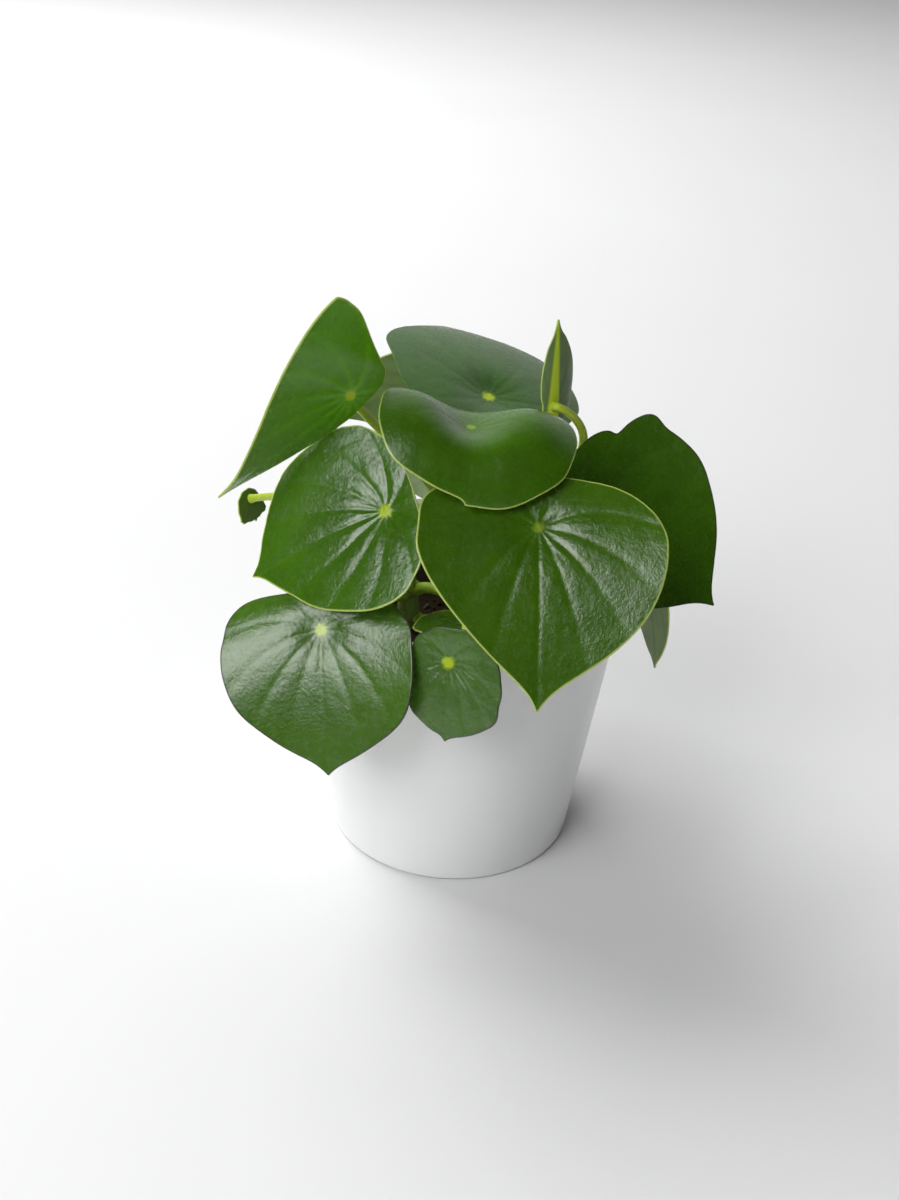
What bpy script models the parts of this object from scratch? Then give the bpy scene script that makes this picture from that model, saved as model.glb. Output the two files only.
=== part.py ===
"""Potted raindrop peperomia: a white pot, its soil, four stems, and round leaves on long stalks.

Metres, +Z up. The origin is the middle of the pot's flat foot. The front of the plant faces -Y.
"""

import math
from dataclasses import dataclass

import bmesh
import bpy
import numpy as np
from mathutils import Vector

MM = 0.001

# Pot
FOOT_RADIUS = 47.5 * MM
POT_HEIGHT = 110 * MM
FLARE = 0.129  # radius gained for each unit of height
WALL = 4 * MM
POT_FLOOR = 6 * MM
EDGE_ROUND = 1.5 * MM
EDGE_STEPS = 3
POT_SIDES = 56

# Soil
SOIL_LEVEL = 95 * MM
SOIL_CROWN = 2.5 * MM
SOIL_EDGE_WIDTH = 18 * MM

# Gap that touching pieces keep
GAP = 0.3 * MM

# Stems
STEM_RADIUS = 4.2 * MM
STEM_TIP_SHARE = 0.8  # the top's radius as a share of the foot's
STEM_ROOT = 72 * MM  # height of each stem's buried end
STEM_POINTS = 7

# Stalks
STALK_FOOT_RADIUS = 2.1 * MM
STALK_TIP_RADIUS = 1.4 * MM
STALK_HEEL = 1.5 * MM  # straight stretch out of the stem
STALK_NECK = 1.5 * MM  # straight stretch just under the blade
STALK_POINTS = 10
SEAT_GAP = 0.5 * MM  # from a stalk's ends to the round of its stem and the dip of its blade

# Blades
BLADE_THICKNESS = 1.2 * MM
SPOKES = 24
RINGS = 4
INNER_RING = 0.22
BEND_REACH = 40.0  # distance from the spot, in mm, over which a blade turns by its bend
DRIP_WIDTH = 0.28  # half width of the drip tip, as an angle in radians
NOTCH_WIDTH = 0.9  # the same for the notch behind

COLLECTION = "raindrop_peperomia"


@dataclass
class Leaf:
    """One leaf. Lengths are in mm, angles in degrees.

    spot: where the stalk meets the blade. pose: the heading of the tip in plan from +X towards +Y,
    how far the tip drops below level, and how far the right half is turned down.
    size: the blade's reach from the spot ahead, to the right, behind and to the left.
    bend: degrees that the blade has turned down at BEND_REACH, for the same four ways.
    rise: how far the blade stands above the dip at its spot, for the same four ways.
    full and back: how square the margin is in front and behind, right and left. widest: how far
    ahead of the spot it is widest, right and left. drip: the length of the drip tip. notch: the
    depth of the hollow in the margin straight behind the spot. dents: smaller hollows in the margin,
    each with its turn from the tip towards the right, its depth and its width in radians; a bulge
    has a negative depth.
    stem: the stem that carries it, and up: how far up that stem, from 0 at the soil to 1 at the top.
    leave and arrive: how far the stalk runs straight out of the stem and into the blade.
    by: points that pull the stalk on its way.
    """

    spot: tuple
    pose: tuple
    size: tuple
    stem: str
    up: float
    bend: tuple = (10, 10, 10, 10)
    rise: tuple = (2, 2, 2, 2)
    dip: float = 9
    full: tuple = (2.2, 2.2)
    back: tuple = (0.9, 0.9)
    widest: tuple = (6, 6)
    drip: float = 3
    notch: float = 0
    dents: tuple = ()
    leave: float = 16
    arrive: float = 18
    by: tuple = ()


# Each stem: its foot in the soil, seen from above, and its top, in mm
STEMS = {
    "centre": ((0, 5), (-3, 1, 140)),
    "right": ((18, 9), (24, 8, 130)),
    "front": ((-19, -16), (-20, -18, 114)),
    "rear": ((1, 29), (3, 33, 128)),
}

LEAVES = {
    "tall_left": Leaf(
        spot=(-41, -22.3, 184.7), pose=(-158, 35, -107), size=(56, 39, 24, 10), stem="centre", up=0.75,
        bend=(0, -5, 20, 90), rise=(1, 1, 1, 1), full=(1.55, 2.2), back=(0.8, 1.5), widest=(-15, 8),
        notch=9, leave=12, arrive=6, by=((-16, 14, 146), (-44, 10, 165)), dents=((150, -3, 0.3),),
    ),
    "outer_left": Leaf(
        spot=(-83.5, 23, 122), pose=(153, 113, 0), size=(9, 8, 4, 8), stem="rear", up=0.45,
        bend=(5, 5, 5, 5), rise=(1, 1, 1, 1), dip=6, full=(3, 4), drip=0.5,
    ),
    "left": Leaf(
        spot=(-27, -42, 152), pose=(178, 30, -44), size=(56, 34, 12, 32), stem="centre", up=0.55,
        bend=(10, -8, 10, 0), full=(3, 2.2),
    ),
    "rear_upright": Leaf(
        spot=(6, 44, 161), pose=(107, -20, 9), size=(62, 41, 20, 34), stem="rear", up=0.95,
        bend=(20, 15, 15, 5), rise=(3, 3, 3, 3), dip=10, full=(3.2, 6),
    ),
    "crown": Leaf(
        spot=(0, -30, 179), pose=(-88, 8, -6), size=(37, 32, 20, 37), stem="centre", up=0.95,
        bend=(75, 20, 60, 30), rise=(8, 12, 0, 12), dip=13,
        full=(4, 4), drip=0.5, dents=((-28, -4, 0.3),),
    ),
    "young": Leaf(
        spot=(29, 18, 169), pose=(-90, -108, 35), size=(31, 5, 6, 13), stem="right", up=0.95,
        bend=(0, -150, 0, -150), rise=(0, 0, 0, 0), drip=2, leave=8, arrive=3,
        by=((48, 40, 140), (50, 22, 160)),
    ),
    "front_right": Leaf(
        spot=(24, -54, 155), pose=(-86, 48, 2), size=(61, 40, 18, 42), stem="right", up=0.75,
        bend=(12, -8, 30, -8), full=(1.5, 2.3), widest=(7, 7), drip=4, dents=((130, -5, 0.35),),
    ),
    "right": Leaf(
        spot=(51, 4, 134), pose=(-24, 31, 27), size=(52, 32, 21, 43), stem="right", up=0.55,
        bend=(0, 4, -5, -20), back=(0.9, 0.6),
        dents=((-75, 2, 0.5), (-128, -4, 0.22), (-150, 2.5, 0.1), (-170, -3, 0.25)),
    ),
    "front_left": Leaf(
        spot=(-47, -55, 112), pose=(-80, 56, 17), size=(50, 35, 14, 33), stem="front", up=0.7,
        bend=(10, 5, 80, -15), dip=8, full=(2.8, 4), drip=2.5, leave=10, arrive=3,
        by=((-33, -34, 120), (-42, -47, 120)), dents=((135, -4, 0.4),),
    ),
    "small_front": Leaf(
        spot=(-3, -70, 111), pose=(-88, 72, 21), size=(27, 15, 12, 19), stem="front", up=0.85,
        bend=(5, 5, 5, 5), rise=(1, 1, 1, 1), dip=7, full=(3, 5), back=(0.7, 0.7), drip=0.5,
        leave=8, arrive=3, by=((8, -40, 118), (6, -58, 117)),
    ),
    "inner": Leaf(
        spot=(8, -30, 104), pose=(-95, 0, 0), size=(20, 24, 8, 14), stem="front", up=0.1,
        rise=(1, 1, 1, 1), dip=7, drip=2, leave=4, arrive=3,
    ),
    "low_right": Leaf(
        spot=(68.5, 8, 113), pose=(-36, 72, -60), size=(43, 14, 12, 14), stem="right", up=0.4,
        bend=(10, 5, 10, 5), rise=(1, 1, 1, 1), dip=8, full=(3, 3), drip=1, leave=14, arrive=8,
    ),
    "rear_left_high": Leaf(
        spot=(-18, 68, 155), pose=(170, 20, 65), size=(43, 19, 11, 21), stem="rear", up=0.8,
        bend=(20, 10, 10, 10), rise=(1, 1, 1, 1), dip=8, drip=4,
    ),
    "rear": Leaf(
        spot=(-2, 68, 122), pose=(88, 45, 0), size=(52, 30, 17, 31), stem="rear", up=0.5,
        bend=(20, 10, 10, 10), dip=8, drip=4, leave=12, arrive=10,
    ),
    "rear_right": Leaf(
        spot=(46, 50, 115), pose=(38, 38, 10), size=(50, 28, 12, 27), stem="rear", up=0.3,
        bend=(20, 10, 10, 10), dip=8, drip=4, leave=14, arrive=5, by=((34, 36, 124),),
    ),
    "rear_left": Leaf(
        spot=(-48, 42, 118), pose=(150, 42, 0), size=(50, 30, 16, 21), stem="rear", up=0.2,
        bend=(20, 10, 10, 10), dip=8, drip=4, leave=14, arrive=6, by=((-34, 36, 124),),
    ),
}


def clear_scene():
    for thing in list(bpy.data.objects):
        bpy.data.objects.remove(thing, do_unlink=True)


def new_collection(name):
    group = bpy.data.collections.new(name)
    bpy.context.scene.collection.children.link(group)
    return group


def new_material(name, colour, roughness):
    """One plain material for one piece."""
    made = bpy.data.materials.new(name)
    made.use_nodes = True
    shader = made.node_tree.nodes["Principled BSDF"]
    shader.inputs["Base Color"].default_value = (*colour, 1)
    shader.inputs["Roughness"].default_value = roughness
    return made


def add_piece(group, name, data, colour, roughness):
    piece = bpy.data.objects.new(name, data)
    piece.data.materials.append(new_material(name, colour, roughness))
    group.objects.link(piece)
    return piece


# Round pieces


def edge_arc(centre_radius, centre_height, radius, start, end):
    """Points of a rounded edge in the profile plane, from one angle to the other, in degrees."""
    turns = np.radians(np.linspace(start, end, EDGE_STEPS + 1))
    return [
        (centre_radius + radius * math.cos(turn), centre_height + radius * math.sin(turn))
        for turn in turns
    ]


def turned(group, name, profile, colour, roughness):
    """A round piece: its profile, as (radius, height) pairs, swept once around +Z."""
    mesh = bpy.data.meshes.new(name)
    points = [(radius, 0, height) for radius, height in profile]
    mesh.from_pydata(points, [(i, i + 1) for i in range(len(points) - 1)], [])
    piece = add_piece(group, name, mesh, colour, roughness)
    screw = piece.modifiers.new("turn", "SCREW")
    screw.steps = screw.render_steps = POT_SIDES
    screw.use_merge_vertices = True
    screw.merge_threshold = 0.00001
    screw.use_smooth_shade = True
    return piece


def outer_radius(height):
    return FOOT_RADIUS + FLARE * height


def inner_radius(height):
    return outer_radius(height) - WALL


def make_pot(group):
    rim = POT_HEIGHT - EDGE_ROUND
    foot = EDGE_ROUND
    corner = POT_FLOOR + EDGE_ROUND
    profile = [
        (0, POT_FLOOR),
        (inner_radius(POT_FLOOR) - EDGE_ROUND, POT_FLOOR),
        (inner_radius(corner), corner),
    ]
    profile += edge_arc(inner_radius(rim) + EDGE_ROUND, rim, EDGE_ROUND, 180, 90)
    profile += edge_arc(outer_radius(rim) - EDGE_ROUND, rim, EDGE_ROUND, 90, 0)
    profile += edge_arc(outer_radius(foot) - EDGE_ROUND, foot, EDGE_ROUND, 0, -90)
    profile.append((0, 0))
    return turned(group, "pot", profile, (0.85, 0.85, 0.84), 0.25)


def make_soil(group, cutters):
    low = POT_FLOOR + GAP
    edge = SOIL_LEVEL - SOIL_CROWN
    profile = [
        (0, SOIL_LEVEL),
        (inner_radius(edge) - SOIL_EDGE_WIDTH, SOIL_LEVEL - SOIL_CROWN / 4),
        (inner_radius(edge) - 2 * GAP, edge),
        (inner_radius(low + EDGE_ROUND) - 2 * GAP, low + EDGE_ROUND),
        (inner_radius(low) - EDGE_ROUND - 2 * GAP, low),
        (0, low),
    ]
    soil = turned(group, "soil", profile, (0.035, 0.024, 0.017), 0.95)
    for cutter in cutters:
        hole = soil.modifiers.new(cutter.name, "BOOLEAN")
        hole.operation = "DIFFERENCE"
        hole.object = cutter
    return soil


# Stems and stalks


def tube(group, name, points, radii, colour):
    """A tapering rod through the points."""
    curve = bpy.data.curves.new(name, "CURVE")
    curve.dimensions = "3D"
    curve.bevel_depth = 1
    curve.bevel_resolution = 2
    curve.use_fill_caps = True
    path = curve.splines.new("POLY")
    path.points.add(len(points) - 1)
    for spot, place, radius in zip(path.points, points, radii):
        spot.co = (*place, 1)
        spot.radius = radius
    path.use_smooth = True
    return add_piece(group, name, curve, colour, 0.4)


def stem_place(name, share):
    """A point on a stem's middle line, from 0 where it leaves the soil to 1 at its top."""
    foot, top = STEMS[name]
    foot = Vector((*foot, SOIL_LEVEL / MM)) * MM
    top = Vector(top) * MM
    lean = Vector((top.x - foot.x, top.y - foot.y, 0))
    return Vector((foot.x, foot.y, foot.z + (top.z - foot.z) * share)) + lean * share**2


def make_stem(group, name):
    """A stem that stands straight in the soil and leans out above it."""
    foot = STEMS[name][0]
    shares = np.linspace(0, 1, STEM_POINTS - 1)
    points = [Vector((foot[0] * MM, foot[1] * MM, STEM_ROOT))]
    points += [stem_place(name, float(share)) for share in shares]
    radii = [STEM_RADIUS] + [stem_radius(float(share)) for share in shares]
    return tube(group, f"stem_{name}", points, radii, (0.16, 0.24, 0.05))


def stem_radius(share):
    return STEM_RADIUS * (1 + (STEM_TIP_SHARE - 1) * share)


def make_stem_cutter(group, name):
    """The hole that a stem stands in."""
    foot = STEMS[name][0]
    low = STEM_ROOT - GAP
    high = SOIL_LEVEL + STEM_RADIUS
    mesh = bpy.data.meshes.new(f"hole_{name}")
    shape = bmesh.new()
    bmesh.ops.create_cone(
        shape, cap_ends=True, segments=SPOKES, depth=high - low,
        radius1=STEM_RADIUS + 2 * GAP, radius2=STEM_RADIUS + 2 * GAP,
    )
    shape.to_mesh(mesh)
    shape.free()
    cutter = bpy.data.objects.new(mesh.name, mesh)
    cutter.location = (foot[0] * MM, foot[1] * MM, (low + high) / 2)
    cutter.hide_render = True
    cutter.display_type = "WIRE"
    group.objects.link(cutter)
    return cutter


def pulled(points, count):
    """Points along the Bezier curve that the given points control."""
    made = []
    for share in np.linspace(0, 1, count):
        level = list(points)
        while len(level) > 1:
            level = [a.lerp(b, float(share)) for a, b in zip(level, level[1:])]
        made.append(level[0])
    return made


def make_stalk(group, name, leaf):
    """The stalk, from the side of its stem to the underside of its blade."""
    up = blade_axes(leaf.pose)[2]
    end = Vector(leaf.spot) * MM - up * (BLADE_THICKNESS + SEAT_GAP)
    neck = end - up * STALK_NECK
    root = stem_place(leaf.stem, leaf.up)
    first = Vector(leaf.by[0]) * MM if leaf.by else end
    outward = Vector((first.x - root.x, first.y - root.y, 0)).normalized()
    start = root + outward * (stem_radius(leaf.up) + SEAT_GAP)
    heel = start + outward * STALK_HEEL
    leave = heel + (outward + Vector((0, 0, 1))).normalized() * leaf.leave * MM
    arrive = neck - up * leaf.arrive * MM
    course = [heel, leave, *[Vector(point) * MM for point in leaf.by], arrive, neck]
    points = [start, *pulled(course, STALK_POINTS - 2), end]
    radii = np.linspace(STALK_FOOT_RADIUS, STALK_TIP_RADIUS, STALK_POINTS)
    return tube(group, f"stalk_{name}", points, radii, (0.38, 0.50, 0.06))


# Blades


def margin(turn, leaf):
    """(sideways, forward) of the flat margin, in mm. turn is 0 at the tip and grows to the right."""
    ahead, right, behind, left = leaf.size
    half, full, back, widest = (
        (right, leaf.full[0], leaf.back[0], leaf.widest[0])
        if math.sin(turn) >= 0
        else (left, leaf.full[1], leaf.back[1], leaf.widest[1])
    )
    off = math.atan2(math.sin(turn), math.cos(turn))
    if math.cos(turn) >= 0:
        width = 1 - abs(math.cos(turn)) ** full
        reach = ahead - leaf.drip - widest
    else:
        width = abs(math.sin(turn)) ** back
        reach = behind + widest
    sideways = math.copysign(half * width, math.sin(turn))
    forward = widest + reach * math.cos(turn) + leaf.drip * math.exp(-((off / DRIP_WIDTH) ** 2))
    forward += leaf.notch * math.exp(-(((math.pi - abs(off)) / NOTCH_WIDTH) ** 2))
    shrink = 0
    for degrees, depth, width in leaf.dents:
        away = math.remainder(turn - math.radians(degrees), 2 * math.pi)
        shrink += depth * math.exp(-((away / width) ** 2))
    keep = 1 - shrink / math.hypot(sideways, forward)
    return sideways * keep, forward * keep


def by_way(four, way):
    """A value that changes smoothly from ahead to right, behind and left. way is 0 ahead."""
    ahead, right, behind, left = four
    along = (ahead - behind) / 2 * math.cos(way)
    across = (right - left) / 2 * math.sin(way)
    saddle = (ahead + behind - right - left) / 4 * math.cos(2 * way)
    return (ahead + right + behind + left) / 4 + along + across + saddle


def blade_axes(pose):
    """The blade's directions at its spot: to the tip, to the right and out of its upper side."""
    heading, drop, roll = (math.radians(angle) for angle in pose)
    level = math.cos(drop)
    tip = Vector((math.cos(heading) * level, math.sin(heading) * level, -math.sin(drop)))
    side = Vector((math.sin(heading), -math.cos(heading), 0))
    up = side.cross(tip)
    turned_side = side * math.cos(roll) - up * math.sin(roll)
    return tip, turned_side, up * math.cos(roll) + side * math.sin(roll)


def blade_place(leaf, reach, turn):
    """A point of the blade's upper side: reach is 0 at the spot and 1 at the margin."""
    sideways, forward = margin(turn, leaf)
    flat = math.hypot(sideways, forward) * reach
    way = math.atan2(sideways, forward)
    curl = math.radians(by_way(leaf.bend, way)) / BEND_REACH or 1e-6
    out = math.sin(curl * flat) / curl
    height = (math.cos(curl * flat) - 1) / curl
    height += by_way(leaf.rise, way) * (1 - math.exp(-((flat / leaf.dip) ** 2)))
    tip, side, up = blade_axes(leaf.pose)
    place = tip * out * math.cos(way) + side * out * math.sin(way) + up * height
    return (Vector(leaf.spot) + place) * MM


def spun_disc(shape):
    """A round disc of radius 1 in the XY plane, as rings of faces about its middle."""
    shares = [0, *np.linspace(INNER_RING, 1, RINGS)]
    spoke = [shape.verts.new((0, float(share), 0)) for share in shares]
    edges = [shape.edges.new(pair) for pair in zip(spoke, spoke[1:])]
    bmesh.ops.spin(
        shape, geom=spoke + edges, cent=(0, 0, 0), axis=(0, 0, -1),
        angle=2 * math.pi, steps=SPOKES, use_merge=True,
    )
    bmesh.ops.remove_doubles(shape, verts=shape.verts[:], dist=0.0001)
    shape.normal_update()
    facing_down = [face for face in shape.faces if face.normal.z < 0]
    bmesh.ops.reverse_faces(shape, faces=facing_down)


def make_blade(group, name, leaf):
    """The blade: a disc laid over the leaf's surface and thickened below it."""
    shape = bmesh.new()
    spun_disc(shape)
    for vertex in shape.verts:
        reach = min(vertex.co.length, 1)
        vertex.co = blade_place(leaf, reach, math.atan2(vertex.co.x, vertex.co.y))
    mesh = bpy.data.meshes.new(f"leaf_{name}")
    shape.to_mesh(mesh)
    shape.free()
    mesh.shade_smooth()
    blade = add_piece(group, f"leaf_{name}", mesh, (0.09, 0.22, 0.015), 0.3)
    skin = blade.modifiers.new("thickness", "SOLIDIFY")
    skin.thickness = BLADE_THICKNESS
    skin.offset = -1
    return blade


def main():
    clear_scene()
    parts = new_collection(COLLECTION)
    holes = new_collection("cutters")
    cutters = [make_stem_cutter(holes, name) for name in STEMS]
    make_pot(parts)
    make_soil(parts, cutters)
    for name in STEMS:
        make_stem(parts, name)
    for name, leaf in LEAVES.items():
        make_stalk(parts, name, leaf)
        make_blade(parts, name, leaf)


main()
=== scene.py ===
"""The looks of a potted raindrop peperomia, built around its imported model. Metres, +Z up."""

import math
from dataclasses import dataclass

import bmesh
import bpy
import numpy as np
from mathutils import Matrix, Vector, noise


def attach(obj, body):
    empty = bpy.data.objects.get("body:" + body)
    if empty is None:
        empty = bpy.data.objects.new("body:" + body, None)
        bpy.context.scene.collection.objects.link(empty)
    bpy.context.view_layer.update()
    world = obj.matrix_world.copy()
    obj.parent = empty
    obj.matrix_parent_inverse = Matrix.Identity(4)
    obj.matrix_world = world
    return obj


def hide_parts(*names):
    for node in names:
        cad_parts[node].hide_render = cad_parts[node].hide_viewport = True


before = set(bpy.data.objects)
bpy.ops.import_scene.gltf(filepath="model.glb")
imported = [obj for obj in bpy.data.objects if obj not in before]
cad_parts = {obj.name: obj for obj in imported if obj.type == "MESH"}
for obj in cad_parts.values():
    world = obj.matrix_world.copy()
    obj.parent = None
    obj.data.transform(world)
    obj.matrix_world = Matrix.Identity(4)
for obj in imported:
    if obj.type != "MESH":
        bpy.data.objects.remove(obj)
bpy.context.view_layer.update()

MM = 0.001

# Camera: where it stands, which way it is turned from the pot's foot, and its lens, all in the
# photograph's own pixels where they are turns
PHOTO_WIDTH, PHOTO_HEIGHT = 899, 1200
FOCAL_PX = 1500
EYE_DISTANCE = 0.6198
EYE_ELEVATION = math.radians(36.97)
PAN_PX = 11.32
TILT_PX = 204.0
ROLL = math.radians(3.33)
SENSOR = 36.0

# Pot
FOOT_RADIUS = 47.5 * MM
POT_HEIGHT = 110 * MM
FLARE = 0.129  # radius gained for each unit of height
WALL = 4 * MM
POT_FLOOR = 6 * MM
EDGE_ROUND = 1.5 * MM
EDGE_STEPS = 8
POT_SIDES = 192
WALL_STEPS = 24

# Soil
SOIL_LEVEL = 95 * MM
SOIL_CROWN = 2.5 * MM
SOIL_SIDES = 144
SOIL_RINGS = 56
SOIL_LUMP = 1.6 * MM
GRAIN_COUNT = 620
SEED = 7

# Stems
STEM_RADIUS = 4.2 * MM
STEM_TIP_SHARE = 0.8
STEM_ROOT = 72 * MM
STEM_RINGS = 90
STEM_SIDES = 40
STEM_BUD = 5 * MM

# Stalks
STALK_FOOT_RADIUS = 2.1 * MM
STALK_TIP_RADIUS = 1.4 * MM
STALK_HEEL = 1.5 * MM
STALK_NECK = 1.5 * MM
SEAT_GAP = 0.5 * MM
STALK_RINGS = 72
STALK_SIDES = 24
STALK_SINK = 1.0 * MM  # how far a stalk grows into its stem and its blade
HEEL_FLARE = 0.35  # how much thicker a stalk is at its stem, and over what length
HEEL_REACH = 2.5 * MM
NECK_FLARE = 0.35  # the same at its blade
NECK_REACH = 2.0 * MM

# Blades
BLADE_THICKNESS = 1.2 * MM
EDGE_THICKNESS = 0.8 * MM
SPOKES = 208
RINGS = 44
RING_CROWDING = 1.15  # above 1 the rings stand closer together near the spot
BEAD_STEPS = 5
BEND_REACH = 40.0
DRIP_WIDTH = 0.28
NOTCH_WIDTH = 0.9
VEIN_WAYS = (0, 27, -27, 54, -54, 84, -84, 120, -120, 158, -158)
VEIN_ARCH = 0.45
VEIN_WIDTH = 1.0
RIPPLE = 0.22
RIM_WIDTH = 0.35  # the pale rim, the spot and the keel are in mm, as the leaves are
SPOT_EDGE, SPOT_CORE = 2.6, 0.2
SPOT_RAGGED = 2.2
KEEL_HALF = 2.8
KEEL_TAPER = 0.06

# Colours, as light that comes back in red, green and blue
LEAF_DEEP = (0.038, 0.112, 0.001)
LEAF_UNDER = (0.150, 0.230, 0.070)
SPOT_YELLOW = (0.42, 0.56, 0.006)
# a duller spot colour: partly the spot's own tint, partly painted shade over the spot
SPOT_DULL_SHADED = (0.20, 0.32, 0.006)
KEEL_YELLOW = (0.50, 0.66, 0.015)
RIM_PALE = (0.42, 0.54, 0.10)
RIM_DARK = (0.030, 0.045, 0.008)
STALK_GREEN = (0.42, 0.56, 0.03)
DUST_WHITE = (0.75, 0.78, 0.70)


@dataclass
class Leaf:
    """One leaf. Lengths are in mm, angles in degrees.

    spot: where the stalk meets the blade. pose: the heading of the tip in plan from +X towards +Y,
    how far the tip drops below level, and how far the right half is turned down.
    size: the blade's reach from the spot ahead, to the right, behind and to the left.
    bend: degrees that the blade has turned down at BEND_REACH, for the same four ways.
    rise: how far the blade stands above the dip at its spot, for the same four ways.
    full and back: how square the margin is in front and behind, right and left. widest: how far
    ahead of the spot it is widest, right and left. drip: the length of the drip tip. notch: the
    depth of the hollow in the margin straight behind the spot. dents: smaller hollows in the
    margin, each with its turn from the tip towards the right, its depth and its width in
    radians. A bulge has a negative depth.
    stem: the stem that carries it, and up: how far up that stem, from 0 at the soil to 1 at the top.
    leave and arrive: how far the stalk runs straight out of the stem and into the blade.
    by: points that pull the stalk on its way.
    """

    spot: tuple
    pose: tuple
    size: tuple
    stem: str
    up: float
    bend: tuple = (10, 10, 10, 10)
    rise: tuple = (2, 2, 2, 2)
    dip: float = 9
    full: tuple = (2.2, 2.2)
    back: tuple = (0.9, 0.9)
    widest: tuple = (6, 6)
    drip: float = 3
    notch: float = 0
    leave: float = 16
    arrive: float = 18
    by: tuple = ()
    dents: tuple = ()


STEMS = {
    "centre": ((0, 5), (-3, 1, 140)),
    "right": ((18, 9), (24, 8, 130)),
    "front": ((-19, -16), (-20, -18, 114)),
    "rear": ((1, 29), (3, 33, 128)),
}
LEAVES = {
    "tall_left": Leaf(
        spot=(-41, -22.3, 184.7), pose=(-158, 35, -107), size=(56, 39, 24, 10), stem="centre", up=0.75,
        bend=(0, -5, 20, 90), rise=(1, 1, 1, 1), full=(1.55, 2.2), back=(0.8, 1.5), widest=(-15, 8),
        notch=9, leave=12, arrive=6, by=((-16, 14, 146), (-44, 10, 165)), dents=((150, -3, 0.3),),
    ),
    "outer_left": Leaf(
        spot=(-83.5, 23, 122), pose=(153, 113, 0), size=(9, 8, 4, 8), stem="rear", up=0.45,
        bend=(5, 5, 5, 5), rise=(1, 1, 1, 1), dip=6, full=(3, 4), drip=0.5,
    ),
    "left": Leaf(
        spot=(-27, -42, 152), pose=(178, 30, -44), size=(56, 34, 12, 32), stem="centre", up=0.55,
        bend=(10, -8, 10, 0), full=(3, 2.2),
    ),
    "rear_upright": Leaf(
        spot=(6, 44, 161), pose=(107, -20, 9), size=(62, 41, 20, 34), stem="rear", up=0.95,
        bend=(20, 15, 15, 5), rise=(3, 3, 3, 3), dip=10, full=(3.2, 6),
    ),
    "crown": Leaf(
        spot=(0, -30, 179), pose=(-88, 8, -6), size=(37, 32, 20, 37), stem="centre", up=0.95,
        bend=(75, 20, 60, 30), rise=(8, 12, 0, 12), dip=13,
        full=(4, 4), drip=0.5, dents=((-28, -4, 0.3),),
    ),
    "young": Leaf(
        spot=(29, 18, 169), pose=(-90, -108, 35), size=(31, 5, 6, 13), stem="right", up=0.95,
        bend=(0, -150, 0, -150), rise=(0, 0, 0, 0), drip=2, leave=8, arrive=3,
        by=((48, 40, 140), (50, 22, 160)),
    ),
    "front_right": Leaf(
        spot=(24, -54, 155), pose=(-86, 48, 2), size=(61, 40, 18, 42), stem="right", up=0.75,
        bend=(12, -8, 30, -8), full=(1.5, 2.3), widest=(7, 7), drip=4, dents=((130, -5, 0.35),),
    ),
    "right": Leaf(
        spot=(51, 4, 134), pose=(-24, 31, 27), size=(52, 32, 21, 43), stem="right", up=0.55,
        bend=(0, 4, -5, -20), back=(0.9, 0.6),
        dents=((-75, 2, 0.5), (-128, -4, 0.22), (-150, 2.5, 0.1), (-170, -3, 0.25)),
    ),
    "front_left": Leaf(
        spot=(-47, -55, 112), pose=(-80, 56, 17), size=(50, 35, 14, 33), stem="front", up=0.7,
        bend=(10, 5, 80, -15), dip=8, full=(2.8, 4), drip=2.5, leave=10, arrive=3,
        by=((-33, -34, 120), (-42, -47, 120)), dents=((135, -4, 0.4),),
    ),
    "small_front": Leaf(
        spot=(-3, -70, 111), pose=(-88, 72, 21), size=(27, 15, 12, 19), stem="front", up=0.85,
        bend=(5, 5, 5, 5), rise=(1, 1, 1, 1), dip=7, full=(3, 5), back=(0.7, 0.7), drip=0.5,
        leave=8, arrive=3, by=((8, -40, 118), (6, -58, 117)),
    ),
    "inner": Leaf(
        spot=(8, -30, 104), pose=(-95, 0, 0), size=(20, 24, 8, 14), stem="front", up=0.1,
        rise=(1, 1, 1, 1), dip=7, drip=2, leave=4, arrive=3,
    ),
    "low_right": Leaf(
        spot=(68.5, 8, 113), pose=(-36, 72, -60), size=(43, 14, 12, 14), stem="right", up=0.4,
        bend=(10, 5, 10, 5), rise=(1, 1, 1, 1), dip=8, full=(3, 3), drip=1, leave=14, arrive=8,
    ),
    "rear_left_high": Leaf(
        spot=(-18, 68, 155), pose=(170, 20, 65), size=(43, 19, 11, 21), stem="rear", up=0.8,
        bend=(20, 10, 10, 10), rise=(1, 1, 1, 1), dip=8, drip=4,
    ),
    "rear": Leaf(
        spot=(-2, 68, 122), pose=(88, 45, 0), size=(52, 30, 17, 31), stem="rear", up=0.5,
        bend=(20, 10, 10, 10), dip=8, drip=4, leave=12, arrive=10,
    ),
    "rear_right": Leaf(
        spot=(46, 50, 115), pose=(38, 38, 10), size=(50, 28, 12, 27), stem="rear", up=0.3,
        bend=(20, 10, 10, 10), dip=8, drip=4, leave=14, arrive=5, by=((34, 36, 124),),
    ),
    "rear_left": Leaf(
        spot=(-48, 42, 118), pose=(150, 42, 0), size=(50, 30, 16, 21), stem="rear", up=0.2,
        bend=(20, 10, 10, 10), dip=8, drip=4, leave=14, arrive=6, by=((-34, 36, 124),),
    ),
}


@dataclass
class Look:
    """How one blade looks: its colours, how deep its grooves and puckers are in mm, how dusty it is."""

    top: tuple = LEAF_DEEP
    # tip: a paler colour towards the tip, which paints a sheen
    tip: tuple = None
    under: tuple = LEAF_UNDER
    rim: tuple = RIM_PALE
    spot: tuple = SPOT_YELLOW
    spot_size: float = 1.0
    keel: tuple = None
    vein: float = 0.06
    groove: float = 0.20
    pucker: float = 0.05
    dust: float = 0.3
    film: float = 0


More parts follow.
